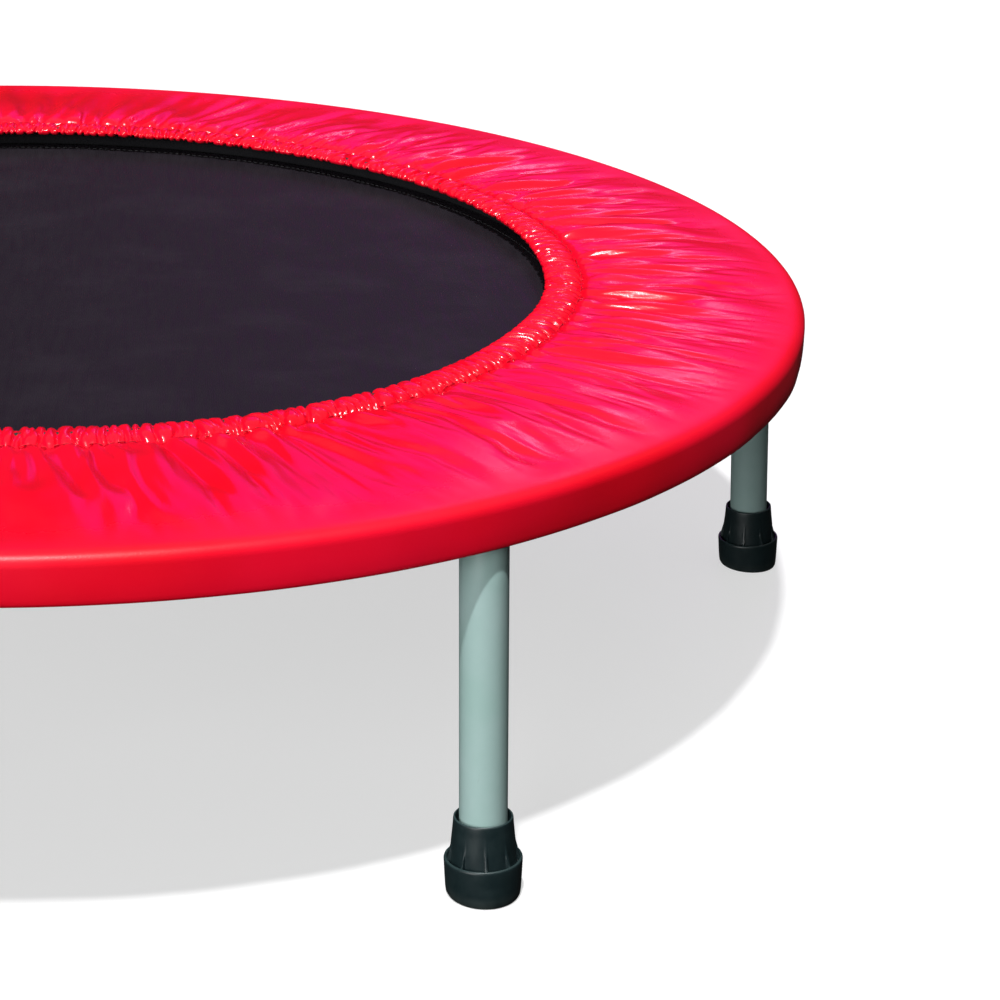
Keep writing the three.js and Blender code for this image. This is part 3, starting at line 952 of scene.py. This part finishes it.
def make_hoop():
    """The bent tube, hollow, with a hole in its inner wall for each spring."""
    columns, sides = 300, 28
    shells = []
    for radius, flip in ((HOOP_TUBE_R, False), (HOOP_TUBE_R - TUBE_WALL, True)):
        turn = ring_angles(sides)
        profile = np.stack([HOOP_R + radius * np.cos(turn), HOOP_Z + radius * np.sin(turn)], axis=1)
        faces = grid_faces(sides, columns, close_rows=True)
        if flip:
            faces = [face[::-1] for face in faces]
        shells.append((turned_points(profile, columns).reshape(-1, 3), faces))
    hoop = joined("hoop", shells)
    ends = [[HOOP_R - 1.6 * HOOP_TUBE_R, 0, HOOP_Z], [HOOP_R - 0.5 * HOOP_TUBE_R, 0, HOOP_Z]]
    points, faces = tube_mesh(ends, SPRING_HOLE_R, 20)
    cutter = outward(joined("hole_cutter", [(placed, faces) for placed in at_each_spring(points)]))
    cut = hoop.modifiers.new("holes", "BOOLEAN")
    cut.operation = "DIFFERENCE"
    cut.solver = "EXACT"
    cut.object = cutter
    graph = bpy.context.evaluated_depsgraph_get()
    finished = bpy.data.meshes.new_from_object(hoop.evaluated_get(graph))
    hoop.modifiers.clear()
    hoop.data = finished
    bpy.data.objects.remove(cutter)
    sharp_edges(hoop)
    dressed(hoop, "steel_coat")
    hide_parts("frame_ring")
    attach(hoop, "frame")


def boss_profile():
    chamfer = 0.8 * MM
    top = -(HOOP_TUBE_R - TUBE_WALL - 0.2 * MM)
    return [
        (BOSS_BORE_R, top), (BOSS_R, top), (BOSS_R, -BOSS_END + chamfer), (BOSS_R - chamfer, -BOSS_END),
        (BOSS_BORE_R + chamfer / 2, -BOSS_END), (BOSS_BORE_R, -BOSS_END + chamfer / 2),
    ]


def weld_bead():
    """The bead where a boss meets the hoop's tube, with the ripples of its runs."""
    angle = ring_angles(120)
    reach = BOSS_R + 0.3 * MM
    across = reach * np.cos(angle)
    drop = np.sqrt(HOOP_TUBE_R ** 2 - across ** 2)
    path = np.stack([across, reach * np.sin(angle), -drop - 0.2 * MM], axis=1)
    ripple = 1.35 * MM + 0.28 * MM * np.abs(np.sin(angle * 14))
    return tube_mesh(path, ripple, 10, closed=True)


def make_bosses():
    for leg in range(LEG_COUNT):
        shapes = (turned_mesh(boss_profile(), 48), weld_bead())
        parts = [(on_leg_axis(points, leg), faces) for points, faces in shapes]
        boss = outward(joined(f"leg_boss_{leg + 1}", parts))
        sharp_edges(boss)
        dressed(boss, "steel_coat")
        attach(boss, "frame")


# ---------- legs

def leg_piece(name, node, slot, body, leg, points, faces):
    made = outward(mesh_object(name, on_leg_axis(points, leg), faces))
    sharp_edges(made)
    dressed(made, slot)
    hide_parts(node)
    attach(made, body)


def tube_profile():
    lip = 0.5 * MM
    bottom = -LEG_FLOOR + FOOT_FLOOR + 0.3 * MM
    top = -LEG_TUBE_TOP
    inner = LEG_TUBE_R - TUBE_WALL
    lengths = np.linspace(bottom + lip, top - lip, 10)
    outside = [(LEG_TUBE_R, height) for height in lengths]
    inside = [(inner, height) for height in lengths[::-1]]
    return [
        (LEG_TUBE_R - lip, bottom), *outside, (LEG_TUBE_R - 0.15 * MM, top - 0.15 * MM),
        (LEG_TUBE_R - lip, top), (inner + 0.2 * MM, top), *inside, (inner + 0.2 * MM, bottom),
    ]


def stud_mesh():
    """A plug with a threaded stud: the thread's ridge climbs one pitch in each turn."""
    columns = 36
    depth = 0.8 * MM
    rows_per_pitch = 8
    thread_rows = int((PLUG_TOP - STUD_START) / THREAD_PITCH * rows_per_pitch)
    heights = np.linspace(-PLUG_TOP + 0.3 * MM, -STUD_START - 0.8 * MM, thread_rows)
    angle = ring_angles(columns)
    phase = (heights[:, None] / THREAD_PITCH - angle[None, :] / FULL_TURN) % 1.0
    flat = 0.12
    ridge = np.clip((1 - np.abs(2 * phase - 1) - flat) / (1 - 2 * flat), 0, 1)
    radius = STUD_R - depth * (1 - ridge)
    taper = np.linspace(STUD_R, STUD_R - depth, 6)[:, None]
    radius[-6:] = np.minimum(radius[-6:], taper)
    thread = round_points(radius, angle, heights[:, None])
    plug_r = LEG_TUBE_R - TUBE_WALL - 0.3 * MM
    plug = turned_points([
        (plug_r - 0.8 * MM, -PLUG_BOTTOM), (plug_r, -PLUG_BOTTOM + 0.8 * MM),
        (plug_r, -PLUG_TOP - 0.5 * MM), (plug_r - 0.5 * MM, -PLUG_TOP), (STUD_R, -PLUG_TOP),
    ], columns)
    tip = turned_points([(STUD_R - depth - 0.7 * MM, -STUD_START)], columns)
    points = np.concatenate([plug, thread, tip])
    faces = grid_faces(len(points), columns) + end_faces(len(points), columns)
    return points.reshape(-1, 3), faces


def between(values, low, high):
    """Where values lie between two lengths in millimetres."""
    return (values > low * MM) & (values < high * MM)


def foot_mesh():
    """A rubber tip: an open collar round the tube, a drum, and gussets from the collar to the drum's lip.
    The outline is in millimetres, from the middle of the sole round to the bottom of the bore."""
    columns = 288
    gussets = 9
    first_gusset = math.radians(7)
    gusset_r = 17 * MM
    half_gusset = 0.5 * MM
    gusset_flank = 0.45 * MM
    lip_top = 20.7
    outline = [
        (0.0, 0.0), (12.0, 0.0), (17.6, 0.0), (18.8, 0.5), (19.4, 1.6), (19.7, 4.0), (20.0, 10.0),
        (20.25, 16.0), (20.4, 18.8), (20.42, 19.7), (20.25, 20.4), (19.85, 20.85), (19.35, 20.9),
        (18.85, 20.6), (18.45, 19.9), (18.1, 18.9), (17.6, 18.6), (17.3, 19.4), (17.25, 21.0), (17.15, 23.0),
        (17.0, 25.0), (16.8, 28.0), (16.6, 30.0), (16.1, 35.0), (15.65, 40.0), (15.5, 42.4), (15.35, 43.2),
        (15.0, 43.6), (14.6, 43.6), (14.35, 43.2), (14.2, 42.2), (13.6, 38.5), (12.85, 35.0), (12.8, 26.0),
        (12.8, 7.4), (12.3, 7.0), (0.0, 7.0),
    ]
    profile = np.array(outline) * MM
    reach = profile[:, 0]
    height = profile[:, 1]
    angle = ring_angles(columns)
    off = ((angle - first_gusset) * gussets / FULL_TURN + 0.5) % 1.0 - 0.5
    off = np.abs(off) * FULL_TURN / gussets * gusset_r
    blade = 1 - smooth_step((off - half_gusset) / gusset_flank)
    collar = between(height, 19.2, 30.5) & between(reach, 16, 17.4)
    groove = between(height, 18, lip_top) & between(reach, 17.2, 18.9)
    slope = 19.3 * MM - (height - 20.6 * MM) * 0.27
    radius = np.repeat(profile[:, :1], columns, axis=1)
    radius += np.where(collar, np.maximum(reach, slope) - reach, 0)[:, None] * blade
    tall = np.repeat(height[:, None], columns, axis=1)
    filled = groove | (collar & (height < lip_top * MM))
    tall += np.where(filled, lip_top * MM - height, 0)[:, None] * blade
    return round_points(radius, angle, tall - LEG_FLOOR), grid_faces(len(profile), columns)


def make_legs():
    tube = turned_mesh(tube_profile(), 64)
    washer_section = bevelled_section(WASHER_BORE_R, WASHER_R, -WASHER_BOTTOM, -WASHER_TOP, 0.35 * MM)
    washer = turned_mesh(washer_section, 48)
    stud = stud_mesh()
    foot = foot_mesh()
    for leg in range(LEG_COUNT):
        number = leg + 1
        body = f"leg_{number}"
        leg_piece(f"tube_{number}", f"leg_tube_{number}", "steel_coat", body, leg, *tube)
        leg_piece(f"washer_{number}", f"leg_washer_{number}", "zinc", f"washer_{number}", leg, *washer)
        leg_piece(f"stud_{number}", f"leg_stud_{number}", "zinc", body, leg, *stud)
        make_foot(leg, *foot)


def make_foot(leg, points, faces):
    """The tip leans with its leg, but its sole is worn flat on the floor."""
    number = leg + 1
    placed = on_leg_axis(points.reshape(-1, 3), leg)
    sole = 9 * MM
    height = placed[:, 2]
    along = points.reshape(-1, 3)[:, 2] + LEG_FLOOR
    flatten = 1 - smooth_step(along / sole)
    placed[:, 2] = height * (1 - flatten) + along * flatten
    foot = outward(mesh_object(f"foot_{number}", placed, faces), merge=True)
    sharp_edges(foot, 50)
    dressed(foot, "foot_rubber")
    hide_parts(f"foot_tip_{number}")
    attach(foot, f"leg_{number}")


# ---------- mat

def make_mat():
    """The woven sheet, with its edge rolled a little over the webbing band and drawn up by each spring."""
    radii = np.concatenate([
        np.linspace(0.02, 0.29, 14), np.linspace(0.296, MAT_R - 1.5 * MM, 8),
        [MAT_R - 0.5 * MM, MAT_R],
    ])
    columns = 240
    thickness = 0.8 * MM
    upper = turned_points([(radius, MAT_TOP) for radius in radii], columns)
    near_edge = smooth_step((radii - 0.26) / 0.07)[:, None]
    upper[..., 2] += 0.18 * MM * np.sin(ring_angles(columns) * SPRING_COUNT) * near_edge
    upper[-1, :, 2] -= 0.35 * MM
    lower = upper[::-1].copy()
    lower[..., 2] -= thickness
    lower[0, :, 2] = MAT_BOTTOM + 0.25 * MM
    points = np.concatenate([upper, lower]).reshape(-1, 3)
    rows = 2 * len(radii)
    faces = grid_faces(rows, columns) + end_faces(rows, columns)
    mat = outward(mesh_object("mat_sheet", points, faces))
    dressed(mat, "mat_weave")
    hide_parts("mat")
    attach(mat, "mat")


def make_edge_band():
    """Webbing sewn under the mat's edge."""
    profile = bevelled_section(BAND_INNER_R, BAND_R, BAND_BOTTOM, BAND_TOP, 0.4 * MM)
    band = outward(turned("edge_band", profile, 240))
    dressed(band, "webbing")
    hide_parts("mat_edge_band")
    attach(band, "mat")


def loop_section():
    """Side view of a tab: from the band, out round the ring's wire, and back under the band."""
    ring_x, ring_z = TAB_R - 2.2 * MM, MAT_BOTTOM - 1.0 * MM
    bend = 2.0 * MM
    turn = np.linspace(math.pi / 2, -math.pi / 2, 9)
    nose = [(ring_x + bend * math.cos(t), ring_z + bend * math.sin(t)) for t in turn]
    return [
        (BAND_R - 22 * MM, BAND_BOTTOM - 0.5 * MM), (BAND_R - 1 * MM, BAND_BOTTOM - 0.4 * MM),
        (BAND_R + 3 * MM, ring_z + bend - 0.3 * MM), *nose,
        (BAND_R + 2 * MM, BAND_BOTTOM - 1.6 * MM), (BAND_R - 20 * MM, BAND_BOTTOM - 1.7 * MM),
    ]


def make_tabs():
    """Thirty loops of webbing, one for each spring."""
    half = TAB_WIDTH / 2
    thickness = 0.45 * MM
    line = np.array(loop_section())
    half_cloth = side_directions(line) * thickness
    outer = line + half_cloth
    inner = line - half_cloth
    ring = []
    for side, edge in ((outer, -half), (outer, half), (inner, half), (inner, -half)):
        ring.append(np.stack([side[:, 0], np.full(len(line), edge), side[:, 1]], axis=1))
    points = np.stack(ring, axis=1)
    faces = grid_faces(len(line), 4) + end_faces(len(line), 4)
    parts = [(placed, faces) for placed in at_each_spring(points.reshape(-1, 3))]
    tabs = outward(joined("band_tabs", parts))
    sharp_edges(tabs)
    dressed(tabs, "webbing")
    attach(tabs, "mat")


def make_band_stitches():
    """Rows of stitches that hold the band: they show on the mat and under the band."""
    parts = []
    rows = ((BAND_INNER_R + 4 * MM, MAT_TOP, 1), (BAND_INNER_R + 4 * MM, BAND_BOTTOM, -1),
            (BAND_R - 5 * MM, BAND_BOTTOM, -1), (BAND_R - 5 * MM, MAT_TOP, 1))
    for radius, height, up in rows:
        count = int(FULL_TURN * radius / (4.5 * MM))
        for number in range(count):
            ends = [(number + share) * FULL_TURN / count for share in (0.12, 0.88)]
            start, end = round_points(radius, ends, height)
            parts.append(stitch(start, end, np.array([0, 0, float(up)]), 0.32 * MM))
    stitches = joined("band_stitches", parts)
    dressed(stitches, "webbing", "black_thread")
    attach(stitches, "mat")


# ---------- springs

def spring_path():
    """Centre line of one spring's wire: hook, coil, hook. It lies along X, at the hoop's height."""
    mean = COIL_R - WIRE_R
    turns = 27
    per_turn = 14
    angle = np.arange(turns * per_turn + 1) * FULL_TURN / per_turn
    along = np.linspace(COIL_START + WIRE_R, COIL_END - WIRE_R, len(angle))
    coil = np.stack([along, mean * np.sin(angle), mean * np.cos(angle)], axis=1)
    bend = 2.2 * MM

    def hook(face, end, outwards):
        """From the coil's rim to its axis, straight out, and down at the end."""
        rim = np.array([face, 0, mean])
        knee = np.array([face + outwards * 2.2 * MM, -1.2 * MM, mean * 0.75])
        axis = np.array([face + outwards * 5.5 * MM, 0, 0.4 * MM])
        straight = np.array([end - outwards * (bend + 1 * MM), 0, 0])
        lines = [rounded_path(np.array([rim, knee, axis, straight]), 14)]
        turn = np.linspace(0, math.pi / 2, 7)
        lines.append(np.stack([
            end + outwards * bend * (np.sin(turn) - 1), np.zeros(7), bend * (np.cos(turn) - 1),
        ], axis=1))
        lines.append(np.array([[end, 0, -HOOK_DROP]]))
        return np.concatenate(lines)

    inner = hook(COIL_START + WIRE_R, INNER_HOOK, -1)[1:]
    outer = hook(COIL_END - WIRE_R, OUTER_HOOK, 1)[1:]
    return np.concatenate([inner[::-1], coil, outer])


def rounded_path(control, count):
    """A smooth line in space through the control points."""
    share = np.linspace(0, 1, len(control))
    at = np.linspace(0, 1, count)
    straight = np.stack([np.interp(at, share, control[:, k]) for k in range(3)], axis=1)
    return softened(straight, 2, 1, count - 1)


def make_springs():
    path = spring_path()
    path[:, 2] += HOOP_Z
    points, faces = tube_mesh(path, WIRE_R, 6)
    hooks = [[OUTER_HOOK - 2 * MM, 0, HOOP_Z], [INNER_HOOK + 2 * MM, 0, HOOP_Z]]
    for spring, (placed, (outer, inner)) in enumerate(zip(at_each_spring(points), at_each_spring(hooks))):
        number = f"{spring + 1:02d}"
        coil = mesh_object(f"coil_{number}", placed, faces)
        dressed(coil, "spring_wire")
        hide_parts(f"spring_{number}")
        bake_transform(coil)


def make_mat_rings():
    """A bent wire triangle in each tab, which the spring's hook pulls on."""
    base_x, apex_x = TAB_R - 2.2 * MM, INNER_HOOK + 2.6 * MM
    half = TAB_WIDTH / 2 - 1 * MM
    base_z, apex_z = MAT_BOTTOM - 1.0 * MM, HOOP_Z - 2.7 * MM
    corners = np.array([
        (base_x, 0, base_z), (base_x, half, base_z), (apex_x, 1.4 * MM, apex_z),
        (apex_x, -1.4 * MM, apex_z), (base_x, -half, base_z),
    ])
    closed = np.concatenate([corners, corners[:1]])
    line = np.concatenate([
        np.linspace(closed[i], closed[i + 1], 10, endpoint=False) for i in range(len(corners))])
    for _ in range(3):
        line = 0.5 * line + 0.25 * (np.roll(line, 1, axis=0) + np.roll(line, -1, axis=0))
    points, faces = tube_mesh(line, WIRE_R, 8, closed=True)
    for spring, placed in enumerate(at_each_spring(points)):
        ring = outward(mesh_object(f"mat_ring_{spring + 1:02d}", placed, faces))
        dressed(ring, "zinc")
        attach(ring, "mat")


# ---------- the scene

make_camera()
make_lights()
make_floor()
make_cover()
make_foam()
make_elastic()
make_hoop()
make_bosses()
make_legs()
make_mat()
make_edge_band()
make_tabs()
make_band_stitches()
make_springs()
make_mat_rings()
